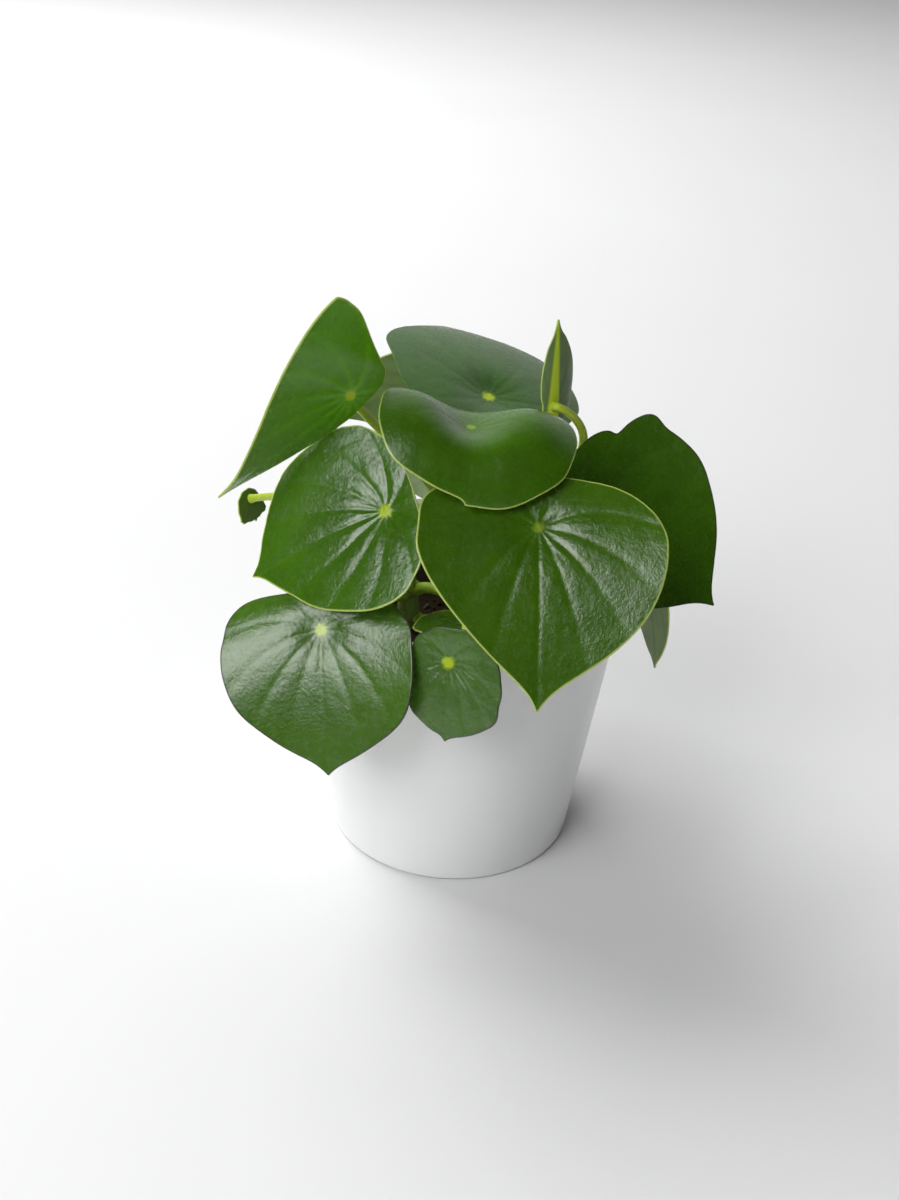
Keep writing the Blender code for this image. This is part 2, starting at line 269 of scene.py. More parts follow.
LOOKS = {
    # tall_left's brighter top and stronger pale veins paint the light that shines through the blade, and its
    # pale grey tip is a painted sheen
    "tall_left": Look(
        top=(0.085, 0.27, 0.002), tip=(0.16, 0.30, 0.07), vein=0.3, groove=0.15, pucker=0.03
    ),
    "left": Look(top=(0.042, 0.125, 0.001), groove=0.34, pucker=0.09, spot_size=1.15),
    # rear_upright's greyer top holds a little painted sheen besides its own green
    "rear_upright": Look(top=(0.034, 0.100, 0.010), groove=0.10, rim=LEAF_DEEP, spot_size=1.1),
    "crown": Look(
        top=(0.040, 0.118, 0.001), groove=0.08, pucker=0.04, vein=0.03, spot=SPOT_DULL_SHADED, spot_size=0.7
    ),
    "young": Look(top=(0.10, 0.22, 0.03), under=(0.12, 0.20, 0.06), keel=KEEL_YELLOW, groove=0.05),
    "front_right": Look(
        top=(0.042, 0.115, 0.001), groove=0.24, pucker=0.07, spot=SPOT_DULL_SHADED, spot_size=0.8
    ),
    "right": Look(
        top=(0.036, 0.105, 0.001), groove=0.15, pucker=0.06, rim=RIM_DARK, spot=SPOT_DULL_SHADED, spot_size=0.8
    ),
    "front_left": Look(top=(0.045, 0.125, 0.002), groove=0.14, rim=RIM_DARK, dust=0.6),
    "small_front": Look(top=(0.042, 0.115, 0.004), groove=0.14, rim=RIM_DARK, dust=1.0, film=0.04),
    "outer_left": Look(under=(0.060, 0.125, 0.002)),
}


# Shader nodes


def new_shader(name, roughness, specular=0.5):
    """A material's node tree and its one shader. Values that are the same all over go on the shader."""
    made = bpy.data.materials.new(name)
    made.use_nodes = True
    tree = made.node_tree
    shader = tree.nodes["Principled BSDF"]
    shader.inputs["Roughness"].default_value = roughness
    shader.inputs["Specular IOR Level"].default_value = specular
    return made, tree, shader


def add_node(tree, kind, inputs, **settings):
    made = tree.nodes.new(kind)
    for key, value in settings.items():
        setattr(made, key, value)
    for socket, value in inputs.items():
        if isinstance(value, bpy.types.NodeSocket):
            tree.links.new(value, made.inputs[socket])
        else:
            made.inputs[socket].default_value = value
    return made


def attribute(tree, name, output="Fac"):
    return add_node(tree, "ShaderNodeAttribute", {}, attribute_name=name).outputs[output]


def colour(value):
    """A colour for a socket: a socket stays as it is, three numbers get their fourth."""
    return value if isinstance(value, bpy.types.NodeSocket) else (*value, 1)


def mixed(tree, share, first, second, blend="MIX"):
    made = add_node(tree, "ShaderNodeMix", {}, data_type="RGBA", blend_type=blend)
    for index, value in ((0, share), (6, colour(first)), (7, colour(second))):
        if isinstance(value, bpy.types.NodeSocket):
            tree.links.new(value, made.inputs[index])
        else:
            made.inputs[index].default_value = value
    return made.outputs[2]


def ramped(tree, value, low, high, start=0.0, end=1.0):
    """start where the value is at low, end where it is at high, with a soft change between them."""
    return add_node(
        tree, "ShaderNodeMapRange",
        {"Value": value, "From Min": low, "From Max": high, "To Min": start, "To Max": end},
        interpolation_type="SMOOTHSTEP",
    ).outputs["Result"]


def maths(tree, operation, first, second=0.0):
    made = add_node(tree, "ShaderNodeMath", {0: first, 1: second}, operation=operation)
    return made.outputs[0]


def stretched(tree, vector, scale):
    """The vector with each of its three numbers multiplied."""
    return add_node(
        tree, "ShaderNodeVectorMath", {0: vector, 1: scale}, operation="MULTIPLY"
    ).outputs[0]


def grain(tree, vector, scale, detail=2.0, roughness=0.5):
    return add_node(
        tree, "ShaderNodeTexNoise",
        {"Vector": vector, "Scale": scale, "Detail": detail, "Roughness": roughness},
    ).outputs["Fac"]


def bumped(tree, shader, height, depth, strength=1.0):
    """Adds a bump to the shader. depth is the height's full range in metres."""
    before = shader.inputs["Normal"].links
    inputs = {"Height": height, "Distance": depth, "Strength": strength}
    if before:
        inputs["Normal"] = before[0].from_socket
    made = add_node(tree, "ShaderNodeBump", inputs)
    tree.links.new(made.outputs["Normal"], shader.inputs["Normal"])


# Meshes


def skin(name, rings, first, last, values):
    """A closed mesh through rings of points, with one point at each end.

    values holds named attributes: for each, one number or vector a point, ends included.
    """
    count, sides = rings.shape[:2]
    points = np.concatenate([[first], rings.reshape(-1, 3), [last]])
    here = 1 + np.arange(count * sides).reshape(count, sides)
    after = np.roll(here, -1, axis=1)
    quads = np.stack([here[:-1], here[1:], after[1:], after[:-1]], axis=-1).reshape(-1, 4)
    end = len(points) - 1
    faces = [(0, a, b) for a, b in zip(here[0].tolist(), after[0].tolist())]
    faces += quads.tolist()
    faces += [(end, b, a) for a, b in zip(here[-1].tolist(), after[-1].tolist())]
    corners = points[quads] - points.mean(0)
    normals = np.cross(corners[:, 2] - corners[:, 0], corners[:, 3] - corners[:, 1])
    if (corners.mean(1) * normals).sum() < 0:
        faces = [face[::-1] for face in faces]
    mesh = bpy.data.meshes.new(name)
    mesh.from_pydata(points.tolist(), [], faces)
    for key, value in values.items():
        value = np.asarray(value, np.float32)
        kind = "FLOAT_VECTOR" if value.ndim == 2 else "FLOAT"
        stored = mesh.attributes.new(key, kind, "POINT")
        stored.data.foreach_set("vector" if value.ndim == 2 else "value", value.ravel())
    mesh.shade_smooth()
    return mesh


def add_piece(name, mesh, material, slot, *nodes):
    """Puts a piece in the scene. It rides on the one body and stands for the CAD nodes given."""
    piece = bpy.data.objects.new(name, mesh)
    mesh.materials.append(material)
    bpy.context.scene.collection.objects.link(piece)
    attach(piece, "root")
    if nodes:
        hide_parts(*nodes)
    return piece


def turned(profile, sides):
    """Rings of points about +Z for a profile of (radius, height) pairs."""
    turn = np.linspace(0, 2 * math.pi, sides, endpoint=False)
    round_way = np.stack([np.cos(turn), np.sin(turn), np.zeros(sides)], axis=-1)
    profile = np.asarray(profile)
    return profile[:, :1, None] * round_way + profile[:, 1:, None] * np.array([0, 0, 1])


def swept(course, radii, sides):
    """Rings of points about a course of points, without twist, with a radius for each."""
    course = np.asarray(course)
    ahead = np.gradient(course, axis=0)
    ahead /= np.linalg.norm(ahead, axis=1)[:, None]
    side = np.cross(ahead[0], (0, 0, 1) if abs(ahead[0][2]) < 0.9 else (1, 0, 0))
    turn = np.linspace(0, 2 * math.pi, sides, endpoint=False)
    rings = []
    for place, way, radius in zip(course, ahead, radii):
        side = side - way * (side @ way)
        side /= np.linalg.norm(side)
        across = np.cross(way, side)
        round_way = np.cos(turn)[:, None] * side + np.sin(turn)[:, None] * across
        rings.append(place + round_way * radius)
    return np.array(rings)


def pulled(points, count):
    """Points along the Bezier curve that the given points control."""
    share = np.linspace(0, 1, count)[:, None]
    level = [np.asarray(point, float) for point in points]
    level = [np.repeat(point[None], count, 0) for point in level]
    while len(level) > 1:
        level = [a + (b - a) * share for a, b in zip(level, level[1:])]
    return level[0]


# Pot


def outer_radius(height):
    return FOOT_RADIUS + FLARE * height


def inner_radius(height):
    return outer_radius(height) - WALL


def edge_arc(centre_radius, centre_height, radius, start, end):
    """Points of a rounded edge in the profile plane, from one angle to the other, in degrees."""
    turns = np.radians(np.linspace(start, end, EDGE_STEPS + 1))
    return [(centre_radius + radius * math.cos(t), centre_height + radius * math.sin(t)) for t in turns]


def straight(start, end, steps):
    """Profile points between two ends, without the ends."""
    shares = np.linspace(0, 1, steps + 2)[1:-1]
    return [tuple(np.array(start) * (1 - s) + np.array(end) * s) for s in shares]


def glaze_material():
    """Smooth satin white with a few fine specks, and bare clay where the foot stands."""
    material, tree, shader = new_shader("white_glaze", 0.28)
    shader.inputs["Coat Weight"].default_value = 0.3
    shader.inputs["Coat Roughness"].default_value = 0.2
    place = add_node(tree, "ShaderNodeTexCoord", {}).outputs["Object"]
    cloud = grain(tree, place, 30, 3)
    white = mixed(tree, cloud, (0.885, 0.888, 0.893), (0.900, 0.903, 0.908))
    speck = ramped(tree, grain(tree, place, 900, 1), 0.80, 0.85, 0, 0.5)
    white = mixed(tree, speck, white, (0.30, 0.27, 0.24))
    height = add_node(tree, "ShaderNodeSeparateXYZ", {"Vector": place}).outputs["Z"]
    bare = ramped(tree, height, 0.35 * MM, 0.05 * MM)
    white = mixed(tree, bare, white, (0.52, 0.49, 0.45))
    tree.links.new(white, shader.inputs["Base Color"])
    rough = maths(tree, "ADD", ramped(tree, cloud, 0.3, 0.7, 0.30, 0.34), maths(tree, "MULTIPLY", bare, 0.5))
    tree.links.new(rough, shader.inputs["Roughness"])
    bumped(tree, shader, grain(tree, place, 1400, 2), 0.01 * MM, 0.5)
    return material


def make_pot():
    rim = POT_HEIGHT - EDGE_ROUND
    foot = EDGE_ROUND
    corner = POT_FLOOR + EDGE_ROUND
    inside_low = (inner_radius(corner), corner)
    inside_high = (inner_radius(rim), rim)
    outside_high = (outer_radius(rim), rim)
    outside_low = (outer_radius(foot), foot)
    profile = straight((0, POT_FLOOR), (inner_radius(POT_FLOOR) - EDGE_ROUND, POT_FLOOR), WALL_STEPS // 2)
    profile.append((inner_radius(POT_FLOOR) - EDGE_ROUND, POT_FLOOR))
    profile += [inside_low, *straight(inside_low, inside_high, WALL_STEPS)]
    profile += edge_arc(inner_radius(rim) + EDGE_ROUND, rim, EDGE_ROUND, 180, 90)
    profile += edge_arc(outer_radius(rim) - EDGE_ROUND, rim, EDGE_ROUND, 90, 0)
    profile += straight(outside_high, outside_low, WALL_STEPS)
    profile += edge_arc(outer_radius(foot) - EDGE_ROUND, foot, EDGE_ROUND, 0, -90)
    profile += straight((outer_radius(foot) - EDGE_ROUND, 0), (0, 0), WALL_STEPS // 2)
    mesh = skin("pot_shell", turned(profile, POT_SIDES), (0, 0, POT_FLOOR), (0, 0, 0), {})
    add_piece("pot_shell", mesh, glaze_material(), "pot", "pot")


# Soil


def soil_height(x, y):
    """The soil's lumpy surface at a place."""
    radius = math.hypot(x, y) / inner_radius(SOIL_LEVEL)
    dome = SOIL_LEVEL - SOIL_CROWN * radius**2
    coarse = noise.fractal(Vector((x, y, 0)) * 160, 1.0, 2.0, 3)
    fine = noise.fractal(Vector((x, y, 0.1)) * 700, 1.0, 2.0, 3)
    return dome + SOIL_LUMP * (0.55 * coarse + 0.25 * fine) - 0.4 * SOIL_LUMP


def soil_material(name, dark, light):
    material, tree, shader = new_shader(name, 0.95, 0.2)
    place = add_node(tree, "ShaderNodeTexCoord", {}).outputs["Object"]
    clod = grain(tree, place, 420, 4, 0.7)
    tone = attribute(tree, "tone")
    earth = mixed(tree, clod, dark, light)
    earth = mixed(tree, tone, earth, (0.55, 0.53, 0.47))
    tree.links.new(earth, shader.inputs["Base Color"])
    bumped(tree, shader, grain(tree, place, 1500, 3, 0.7), 0.4 * MM)
    return material


def make_soil(material):
    low = POT_FLOOR + SEAT_GAP
    edge = SOIL_LEVEL - SOIL_CROWN - SOIL_LUMP
    wall = [(inner_radius(low) - EDGE_ROUND - SEAT_GAP, low)]
    wall += [(inner_radius(h) - SEAT_GAP, h) for h in np.linspace(low + EDGE_ROUND, edge, WALL_STEPS)]
    rings = list(turned(wall, SOIL_SIDES))
    for share in np.linspace(1, 0, SOIL_RINGS, endpoint=False):
        ring = turned([((inner_radius(edge) - SEAT_GAP) * share, 0)], SOIL_SIDES)[0]
        ring[:, 2] = [soil_height(x, y) for x, y, _ in ring]
        rings.append(ring)
    rings = np.array(rings)
    tones = {"tone": np.zeros(rings[..., 0].size + 2)}
    mesh = skin("soil_bed", rings, (0, 0, low), (0, 0, soil_height(0, 0)), tones)
    add_piece("soil_bed", mesh, material, "soil", "soil")


def make_grains(material):
    """Crumbs, bark and pale perlite scattered over the soil, as one mesh."""
    random = np.random.default_rng(SEED)
    feet = [np.array(foot) * MM for foot, _ in STEMS.values()]
    ball = bmesh.new()
    bmesh.ops.create_icosphere(ball, subdivisions=1, radius=1)
    ball.verts.index_update()
    corners = np.array([corner.co for corner in ball.verts])
    triangles = np.array([[corner.index for corner in face.verts] for face in ball.faces])
    ball.free()
    points, faces, tones = [], [], []
    for _ in range(GRAIN_COUNT):
        radius = (inner_radius(SOIL_LEVEL) - 3 * MM) * math.sqrt(random.random())
        turn = random.random() * 2 * math.pi
        x, y = radius * math.cos(turn), radius * math.sin(turn)
        size = random.uniform(0.5, 1.5) * MM * (1.6 if random.random() < 0.1 else 1)
        squash = random.uniform(0.35, 1.0, 3)
        pale = random.random() < 0.07
        lumps = 1 + 0.35 * (random.random(len(corners)) - 0.5)
        turn_by = Matrix.Rotation(random.random() * 6.28, 3, Vector(random.normal(size=3)).normalized())
        if min(math.hypot(x - f[0], y - f[1]) for f in feet) < STEM_RADIUS + 2 * size:
            continue
        shape_points = corners * lumps[:, None] * size * squash @ np.array(turn_by)
        faces.append(triangles + len(corners) * len(points))
        points.append(shape_points + (x, y, soil_height(x, y) + 0.25 * size))
        tones.append(np.full(len(corners), 0.9 if pale else random.uniform(0, 0.12)))
    mesh = bpy.data.meshes.new("soil_grains")
    mesh.from_pydata(np.concatenate(points).tolist(), [], np.concatenate(faces).tolist())
    stored = mesh.attributes.new("tone", "FLOAT", "POINT")
    stored.data.foreach_set("value", np.concatenate(tones).astype(np.float32))
    add_piece("soil_grains", mesh, material, "soil")


# Stems and stalks


def stem_place(name, share):
    """A point on a stem's middle line, from 0 where it leaves the soil to 1 at its top."""
    foot, top = STEMS[name]
    foot = np.array([*foot, SOIL_LEVEL / MM]) * MM
    top = np.array(top) * MM
    lean = np.array([top[0] - foot[0], top[1] - foot[1], 0])
    return np.array([foot[0], foot[1], foot[2] + (top[2] - foot[2]) * share]) + lean * share**2


def stem_radius(share):
    return STEM_RADIUS * (1 + (STEM_TIP_SHARE - 1) * share)


def stem_material():
    material, tree, shader = new_shader("stem_bark", 0.45)
    shader.inputs["Subsurface Weight"].default_value = 0.1
    shader.inputs["Subsurface Scale"].default_value = 1 * MM
    place = add_node(tree, "ShaderNodeTexCoord", {}).outputs["Object"]
    streak = grain(tree, stretched(tree, place, (1, 1, 0.12)), 1500, 3)
    green = mixed(tree, streak, (0.13, 0.22, 0.03), (0.24, 0.33, 0.06))
    scar = attribute(tree, "scar")
    green = mixed(tree, scar, green, (0.17, 0.12, 0.05))
    pore = ramped(tree, grain(tree, place, 1100, 1), 0.66, 0.74)
    green = mixed(tree, maths(tree, "MULTIPLY", pore, 0.6), green, (0.30, 0.26, 0.14))
    tree.links.new(green, shader.inputs["Base Color"])
    bumped(tree, shader, streak, 0.25 * MM)
    return material


def make_stem(name, material):
    """A fleshy stem with a ring at each leaf, and a closed bud at its top."""
    shares = np.linspace(0, 1, STEM_RINGS)
    course = [np.array([*np.array(STEMS[name][0]) * MM, STEM_ROOT])]
    course += [stem_place(name, share) for share in shares]
    radii = np.array([STEM_RADIUS, *stem_radius(shares)])
    up = np.array([0, *shares])
    scar = np.zeros(len(radii))
    for leaf in LEAVES.values():
        if leaf.stem == name:
            scar = np.maximum(scar, np.exp(-(((up - leaf.up) / 0.06) ** 2)))
    radii = radii * (1 + 0.10 * scar)
    way = course[-1] - course[-2]
    way /= np.linalg.norm(way)
    bud_shares = np.linspace(0, 1, 16)[1:]
    course += [course[-1] + way * STEM_BUD * share for share in bud_shares]
    radii = np.array([*radii, *(radii[-1] * (1 - bud_shares**1.6) + 0.05 * MM)])
    rings = swept(course, radii, STEM_SIDES)
    scars = np.repeat([*scar, *np.zeros(len(bud_shares))], STEM_SIDES)
    values = {"scar": [0, *scars, 0]}
    mesh = skin(f"plant_stem_{name}", rings, course[0], course[-1] + way * 0.05 * MM, values)
    add_piece(f"plant_stem_{name}", mesh, material, "stem", f"stem_{name}")


def stalk_material():
    material, tree, shader = new_shader("stalk_flesh", 0.38)
    shader.inputs["Subsurface Weight"].default_value = 0.3
    shader.inputs["Subsurface Scale"].default_value = 1.2 * MM
    shader.inputs["Subsurface Radius"].default_value = (1.0, 1.0, 0.2)
    place = add_node(tree, "ShaderNodeTexCoord", {}).outputs["Object"]
    along = attribute(tree, "along")
    tint = mixed(tree, ramped(tree, along, 0.1, 0.9), (0.26, 0.40, 0.03), STALK_GREEN)
    fleck = grain(tree, place, 900, 2)
    tint = mixed(tree, ramped(tree, fleck, 0.45, 0.75, 0, 0.5), tint, (0.55, 0.62, 0.12))
    tree.links.new(tint, shader.inputs["Base Color"])
    bumped(tree, shader, fleck, 0.12 * MM)
    return material


def make_stalk(name, leaf, material):
    """The stalk, grown out of its stem and into the underside of its blade."""
    up = blade_axes(leaf.pose)[2]
    spot = np.array(leaf.spot) * MM
    end = spot - up * (BLADE_THICKNESS + SEAT_GAP)
    neck = end - up * STALK_NECK
    root = stem_place(leaf.stem, leaf.up)
    first = np.array(leaf.by[0]) * MM if leaf.by else end
    outward = np.array([first[0] - root[0], first[1] - root[1], 0])
    outward /= np.linalg.norm(outward)
    start = root + outward * (stem_radius(leaf.up) + SEAT_GAP)
    heel = start + outward * STALK_HEEL
    slant = outward + np.array([0, 0, 1])
    leave = heel + slant / np.linalg.norm(slant) * leaf.leave * MM
    arrive = neck - up * leaf.arrive * MM
    middle = pulled([heel, leave, *[np.array(point) * MM for point in leaf.by], arrive, neck], STALK_RINGS)
    deep_start = start - outward * (SEAT_GAP + STALK_SINK)
    deep_end = end + up * (SEAT_GAP + 0.6 * BLADE_THICKNESS)
    course = np.concatenate([pulled([deep_start, heel], 8)[:-1], middle, pulled([neck, deep_end], 10)[1:]])
    steps = np.linalg.norm(np.diff(course, axis=0), axis=1)
    from_start = np.concatenate([[0], np.cumsum(steps)])
    to_end = from_start[-1] - from_start
    share = from_start / from_start[-1]
    radii = STALK_FOOT_RADIUS + (STALK_TIP_RADIUS - STALK_FOOT_RADIUS) * share
    heel = HEEL_FLARE * np.exp(-((from_start / HEEL_REACH) ** 2))
    neck = NECK_FLARE * np.exp(-((to_end / NECK_REACH) ** 2))
    rings = swept(course, radii * (1 + heel + neck), STALK_SIDES)
    values = {"along": [0, *np.repeat(share, STALK_SIDES), 1]}
    mesh = skin(f"plant_stalk_{name}", rings, course[0], course[-1], values)
    add_piece(f"plant_stalk_{name}", mesh, material, "stalk", f"stalk_{name}")


# Blades


def margin(turn, leaf):
    """(sideways, forward) of the flat margin, in mm. turn is 0 at the tip and grows to the right."""
    ahead, right, behind, left = leaf.size
    cos, sin = np.cos(turn), np.sin(turn)
    sides = ((right, left), leaf.full, leaf.back, leaf.widest)
    half, full, back, widest = (np.where(sin >= 0, *pair) for pair in sides)
    off = np.arctan2(sin, cos)
    width = np.where(cos >= 0, 1 - np.abs(cos) ** full, np.abs(sin) ** back)
    reach = np.where(cos >= 0, ahead - leaf.drip - widest, leaf.size[2] + widest)
    sideways = np.sign(sin) * half * width
    forward = widest + reach * cos + leaf.drip * np.exp(-((off / DRIP_WIDTH) ** 2))
    forward = forward + leaf.notch * np.exp(-(((math.pi - np.abs(off)) / NOTCH_WIDTH) ** 2))
    shrink = np.zeros_like(forward)
    for degrees, depth, dent_width in leaf.dents:
        away = np.angle(np.exp(1j * (turn - math.radians(degrees))))
        shrink += depth * np.exp(-((away / dent_width) ** 2))
    keep = 1 - shrink / np.maximum(np.hypot(sideways, forward), 1)
    return sideways * keep, forward * keep


def by_way(four, way):
    """A value that changes smoothly from ahead to right, behind and left. way is 0 ahead."""
    ahead, right, behind, left = four
    along = (ahead - behind) / 2 * np.cos(way)
    across = (right - left) / 2 * np.sin(way)
    saddle = (ahead + behind - right - left) / 4 * np.cos(2 * way)
    return (ahead + right + behind + left) / 4 + along + across + saddle


def blade_axes(pose):
    """The blade's directions at its spot: to the tip, to the right and out of its upper side."""
    heading, drop, roll = np.radians(pose)
    level = math.cos(drop)
    tip = np.array([math.cos(heading) * level, math.sin(heading) * level, -math.sin(drop)])
    side = np.array([math.sin(heading), -math.cos(heading), 0])
    up = np.cross(side, tip)
    turned_side = side * math.cos(roll) - up * math.sin(roll)
    return tip, turned_side, up * math.cos(roll) + side * math.sin(roll)


def blade_place(leaf, sideways, forward):
    """Points of the blade's smooth upper side, in metres, for flat places in mm."""
    flat = np.hypot(sideways, forward)
    way = np.arctan2(sideways, forward)
    curl = np.radians(by_way(leaf.bend, way)) / BEND_REACH
    curl = np.where(np.abs(curl) < 1e-6, 1e-6, curl)
    out = np.sin(curl * flat) / curl
    height = (np.cos(curl * flat) - 1) / curl
    height = height + by_way(leaf.rise, way) * (1 - np.exp(-((flat / leaf.dip) ** 2)))
    tip, side, up = blade_axes(leaf.pose)
    parts = ((out * np.cos(way), tip), (out * np.sin(way), side), (height, up))
    return (np.array(leaf.spot) + sum(amount[..., None] * axis for amount, axis in parts)) * MM


def vein_share(leaf, sideways, forward, width):
    """1 in the middle of a vein and 0 between veins. The veins leave the spot and arch to the tip."""
    flat = np.hypot(sideways, forward)
    way = np.arctan2(sideways, forward)
    found = np.zeros_like(flat)
    for degrees in VEIN_WAYS:
        path = math.radians(degrees) * np.exp(-VEIN_ARCH * flat / leaf.size[0])
        off = np.angle(np.exp(1j * (way - path)))
        found = np.maximum(found, np.exp(-((flat * off / width) ** 2)))
    return found


def wrinkles(sideways, forward, seed):
    """Small uneven bulges of the blade between -1 and 1, drawn out along the veins."""
    flat = np.hypot(sideways, forward)
    way = np.arctan2(sideways, forward)
    found = np.empty_like(flat)
    for index, (distance, angle, x, y) in enumerate(zip(flat.flat, way.flat, sideways.flat, forward.flat)):
        radial = noise.noise(Vector((distance * 0.16, math.cos(angle) * 6, math.sin(angle) * 6 + seed)))
        patch = noise.noise(Vector((x * 0.45, y * 0.45, seed)))
        found.flat[index] = 0.6 * radial + 0.5 * patch
    return found


def blade_material(name, look):
    """Waxy green above with its yellow spot, veins, fine puckers and dust, and dull pale green below."""
    material, tree, shader = new_shader(f"blade_{name}", 0.25, 0.8)
    shader.inputs["Subsurface Weight"].default_value = 0.1
    shader.inputs["Subsurface Scale"].default_value = 0.6 * MM
    shader.inputs["Subsurface Radius"].default_value = (0.7, 1.0, 0.1)
    flat = attribute(tree, "flat", "Vector")
    parts = add_node(tree, "ShaderNodeSeparateXYZ", {"Vector": flat}).outputs
    vein = attribute(tree, "vein")
    under = attribute(tree, "underside")
    mottle = grain(tree, flat, 0.09, 3)
    top = mixed(tree, ramped(tree, mottle, 0.3, 0.7), look.top, tuple(c * 1.18 for c in look.top))
    # the colour that pales towards the tip is a painted sheen
    if look.tip:
        top = mixed(tree, ramped(tree, parts["Y"], 5, 55), top, look.tip)
    bright_vein = tuple(min(c * 2.2 + 0.01, 1) for c in look.top)
    top = mixed(tree, maths(tree, "MULTIPLY", vein, look.vein), top, bright_vein)
    ragged = maths(tree, "MULTIPLY", maths(tree, "SUBTRACT", grain(tree, flat, 0.7, 2), 0.5), SPOT_RAGGED)
    away = maths(tree, "DIVIDE", attribute(tree, "from_spot"), look.spot_size)
    away = maths(tree, "SUBTRACT", maths(tree, "ADD", away, ragged), vein)
    glow = maths(tree, "POWER", ramped(tree, away, SPOT_EDGE, SPOT_CORE), 1.6)
    top = mixed(tree, glow, top, look.spot)
    fewer = 0.05 * look.dust
    dust = ramped(tree, grain(tree, flat, 1.9, 1), 0.86 - fewer, 0.89 - fewer, 0, 0.8)
    if look.film:
        film = ramped(tree, grain(tree, flat, 0.8, 4, 0.7), 0.5, 0.8, 0, look.film)
        dust = maths(tree, "MAXIMUM", dust, film)
    top = mixed(tree, dust, top, DUST_WHITE)
    below = mixed(tree, ramped(tree, mottle, 0.3, 0.7), look.under, tuple(c * 1.25 for c in look.under))
    below = mixed(tree, maths(tree, "MULTIPLY", vein, 0.5), below, tuple(c * 0.6 for c in look.under))
    if look.keel:
        across = maths(tree, "ABSOLUTE", parts["X"])
        narrowing = maths(tree, "MULTIPLY", parts["Y"], KEEL_TAPER)
        ridge = ramped(tree, maths(tree, "ADD", across, narrowing), KEEL_HALF, 0.6 * KEEL_HALF)
        below = mixed(tree, ridge, below, look.keel)
    skin_colour = mixed(tree, under, top, below)
    skin_colour = mixed(tree, attribute(tree, "bead"), skin_colour, look.rim)
    tree.links.new(skin_colour, shader.inputs["Base Color"])
    rough = ramped(tree, grain(tree, flat, 0.35, 3), 0.3, 0.7, 0.21, 0.29)
    rough = maths(tree, "ADD", rough, maths(tree, "MULTIPLY", maths(tree, "MAXIMUM", dust, under), 0.3))
    tree.links.new(rough, shader.inputs["Roughness"])
    bumped(tree, shader, grain(tree, flat, 0.75, 3, 0.6), (0.08 + look.pucker) * MM)
    bumped(tree, shader, grain(tree, flat, 2.6, 2), 0.03 * MM)
    return material


